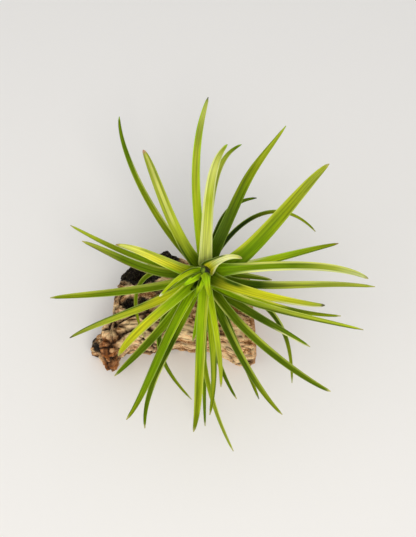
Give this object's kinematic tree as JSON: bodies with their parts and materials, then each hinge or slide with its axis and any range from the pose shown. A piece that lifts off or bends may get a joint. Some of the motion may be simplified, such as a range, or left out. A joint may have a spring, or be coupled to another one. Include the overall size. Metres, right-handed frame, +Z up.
{
  "type": "air plant on bark",
  "caption": "Stem-forming air plant with narrow channelled leaves in a leaning rosette, seated by its roots on a piece of rough bark.",
  "frame": {"origin": "on the surface that the bark rests on, straight below the plant's crown", "axes": "+Z up, +X along the bark to its cut end, -Y to the front, where the plant leans"},
  "size_m": [0.1527, 0.1721, 0.0924],
  "materials": {
    "bark": "rough, dry and fissured",
    "stem": "dull, dry sheaths and wiry roots",
    "leaf_dark": "satin, finely striped along the blade",
    "leaf_mid": "satin, finely striped along the blade",
    "leaf_bright": "satin, finely striped along the blade",
    "leaf_pale": "satin, with pale scales along the margins",
    "leaf_yellow": "satin, finely striped along the blade"
  },
  "bodies": {
    "root": {"bark_mount": "bark", "stem": "stem", "leaf_01": "leaf_dark", "leaf_02": "leaf_dark", "leaf_03": "leaf_dark", "leaf_04": "leaf_pale", "leaf_05": "leaf_dark", "leaf_06": "leaf_mid", "leaf_07": "leaf_dark", "leaf_08": "leaf_dark", "leaf_09": "leaf_mid", "leaf_10": "leaf_dark", "leaf_11": "leaf_mid", "leaf_12": "leaf_mid", "leaf_13": "leaf_mid", "leaf_14": "leaf_dark", "leaf_15": "leaf_dark", "leaf_16": "leaf_bright", "leaf_17": "leaf_mid", "leaf_18": "leaf_mid", "leaf_19": "leaf_mid", "leaf_20": "leaf_bright", "leaf_21": "leaf_dark", "leaf_22": "leaf_mid", "leaf_23": "leaf_mid", "leaf_24": "leaf_dark", "leaf_25": "leaf_bright", "leaf_26": "leaf_mid", "leaf_27": "leaf_mid", "leaf_28": "leaf_mid", "leaf_29": "leaf_mid", "leaf_30": "leaf_bright", "leaf_31": "leaf_bright", "leaf_32": "leaf_yellow", "leaf_33": "leaf_pale", "leaf_34": "leaf_pale", "leaf_35": "leaf_bright", "leaf_36": "leaf_mid", "leaf_37": "leaf_bright", "leaf_38": "leaf_bright", "leaf_39": "leaf_yellow", "leaf_40": "leaf_bright", "leaf_41": "leaf_pale", "leaf_42": "leaf_bright", "leaf_43": "leaf_bright", "leaf_44": "leaf_bright", "leaf_45": "leaf_bright", "leaf_46": "leaf_bright"}
  },
  "joints": []
}
